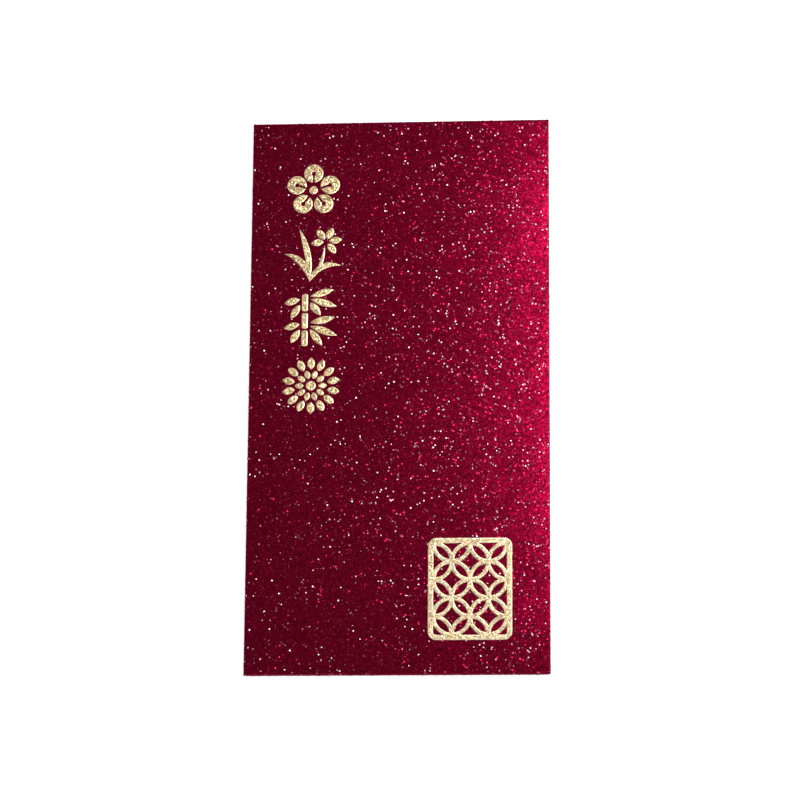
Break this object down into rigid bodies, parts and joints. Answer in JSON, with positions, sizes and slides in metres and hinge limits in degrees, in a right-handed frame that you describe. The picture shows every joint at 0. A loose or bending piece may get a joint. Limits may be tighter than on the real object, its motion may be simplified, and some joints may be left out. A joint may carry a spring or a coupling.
{
  "type": "red envelope",
  "caption": "Flat upright paper gift envelope folded and glued into a note pocket, with a hinged closing flap behind and raised gold foil ornaments on its glitter front.",
  "frame": {"origin": "on the surface the envelope lies on, under the middle of its rectangular outline", "axes": "+Z out of the decorated front, +Y along the height to the closing fold at the top, +X to the right as the front is read"},
  "size_m": [0.09, 0.17, 0.0021],
  "materials": {
    "glitter_paper": "deep crimson sheet with a fine glitter coat outside and plain paper inside",
    "paper_glue": "dried white glue film",
    "gold_foil": "raised champagne gold hot-stamping foil, finely grained"
  },
  "bodies": {
    "pocket": {"front_panel": "glitter_paper", "left_side_fold": "glitter_paper", "right_side_fold": "glitter_paper", "bottom_fold": "glitter_paper", "top_fold": "glitter_paper", "left_back_panel": "glitter_paper", "seam_step": "glitter_paper", "seam_lap": "glitter_paper", "right_back_panel": "glitter_paper", "bottom_flap": "glitter_paper", "back_seam_glue": "paper_glue", "bottom_flap_glue": "paper_glue", "plum_blossom_foil": "gold_foil", "orchid_foil": "gold_foil", "bamboo_foil": "gold_foil", "chrysanthemum_foil": "gold_foil", "seal_foil": "gold_foil"},
    "flap": {"top_flap": "glitter_paper"}
  },
  "joints": [
    {"name": "flap_hinge", "type": "hinge", "parent": "pocket", "child": "flap", "pos_m": [0, 0.08405, 0.00095], "axis": [1, 0, 0], "range_deg": [0, 180], "deforming": ["top_fold"]}
  ]
}
